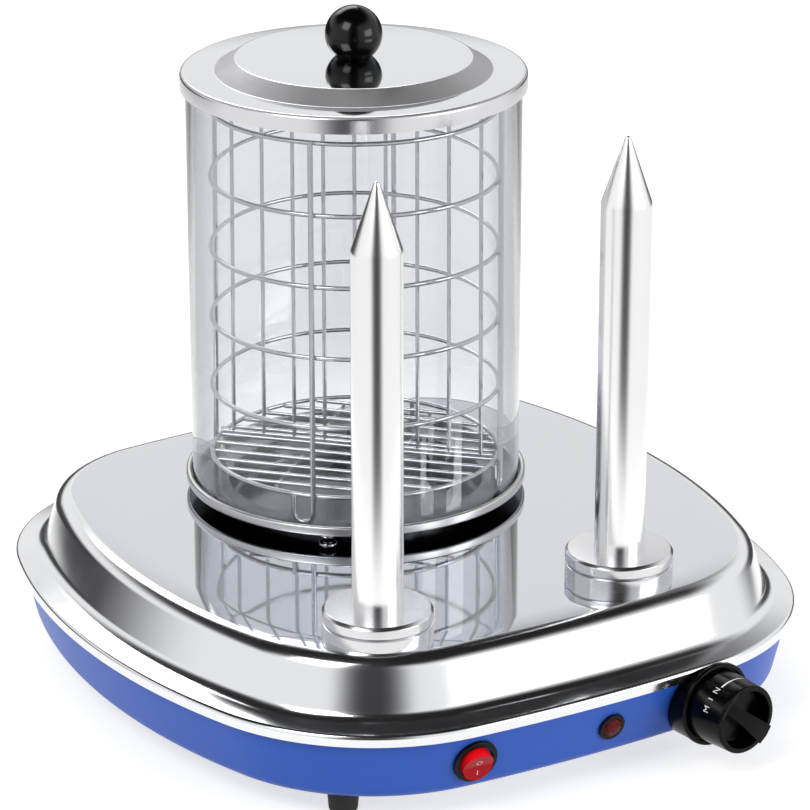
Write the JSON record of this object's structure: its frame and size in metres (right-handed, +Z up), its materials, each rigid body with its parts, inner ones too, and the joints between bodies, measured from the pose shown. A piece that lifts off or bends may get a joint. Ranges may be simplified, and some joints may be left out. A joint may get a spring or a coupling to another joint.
{
  "type": "hot dog toaster",
  "caption": "Counter hot dog toaster: heated bun spikes before a glass steam cylinder with wire basket and lifting lid, on a rounded bright-topped base with rocker, lamp and dial.",
  "frame": {"origin": "centre of the overall plan box, on the surface the feet stand on", "axes": "+X along the control face to the right as a user sees it, +Y from the control face towards the glass, +Z up"},
  "size_m": [0.364, 0.3946, 0.3365],
  "materials": {
    "blue_enamel": "gloss",
    "plain_steel": "satin",
    "polished_steel": "mirror polish",
    "tray_steel": "satin",
    "wire_steel": "bright drawn wire",
    "turned_aluminium": "fine turned",
    "cast_aluminium": "as cast",
    "black_rubber": "matt",
    "black_plastic": "satin",
    "black_gloss": "gloss",
    "pale_plastic": "matt",
    "red_translucent": "translucent gloss",
    "dark_red_lens": "translucent gloss",
    "clear_glass": "clear",
    "brass_nut": "plain"
  },
  "bodies": {
    "base": {"base_housing": "blue_enamel", "bottom_plate": "plain_steel", "cord_gland": "black_plastic", "cover_posts": "cast_aluminium", "dial_collar": "black_plastic", "foot_screws": "plain_steel", "gland_nut": "black_plastic", "heater_bridge": "plain_steel", "heater_nut": "plain_steel", "lamp_bulb": "clear_glass", "lamp_holder": "black_plastic", "lamp_lens": "dark_red_lens", "post_screws": "plain_steel", "rubber_feet": "black_rubber", "spike_base_left": "turned_aluminium", "spike_base_right": "turned_aluminium", "spike_heater_left": "plain_steel", "spike_heater_right": "plain_steel", "spike_left": "turned_aluminium", "spike_nut_left": "plain_steel", "spike_nut_right": "plain_steel", "spike_right": "turned_aluminium", "switch_body": "black_plastic", "terminal_block": "pale_plastic", "thermostat_body": "pale_plastic", "thermostat_nut": "brass_nut", "top_cover": "polished_steel", "tray_feet": "plain_steel", "tray_heater": "cast_aluminium", "water_tray": "tray_steel"},
    "rocker": {"switch_rocker": "red_translucent"},
    "dial": {"control_knob": "black_gloss", "thermostat_shaft": "plain_steel"},
    "glass": {"glass_cylinder": "clear_glass"},
    "basket": {"basket_divider": "wire_steel", "basket_floor": "wire_steel", "basket_ring_1": "wire_steel", "basket_ring_2": "wire_steel", "basket_ring_3": "wire_steel", "basket_ring_4": "wire_steel", "basket_ring_5": "wire_steel", "basket_ring_6": "wire_steel", "basket_upright_1": "wire_steel", "basket_upright_2": "wire_steel", "basket_upright_3": "wire_steel", "basket_upright_4": "wire_steel"},
    "lid": {"lid_plate": "polished_steel", "lid_knob": "black_gloss", "lid_screw": "plain_steel"}
  },
  "joints": [
    {"name": "rocker_tilt", "type": "hinge", "parent": "base", "child": "rocker", "pos_m": [-0.06586, -0.16039, 0.02945], "axis": [-0.9973, 0.0739, 0], "range_deg": [0, 16]},
    {"name": "dial_turn", "type": "hinge", "parent": "base", "child": "dial", "pos_m": [0.0655, -0.1713, 0.0303], "axis": [-0.1063, 0.9943, 0], "range_deg": [0, 270]},
    {"name": "glass_lift", "type": "slide", "parent": "base", "child": "glass", "axis": [0, 0, 1], "range_m": [0, 0.06]},
    {"name": "basket_lift", "type": "slide", "parent": "glass", "child": "basket", "axis": [0, 0, 1], "range_m": [0, 0.235]},
    {"name": "lid_lift", "type": "slide", "parent": "basket", "child": "lid", "axis": [0, 0, 1], "range_m": [0, 0.12]}
  ]
}
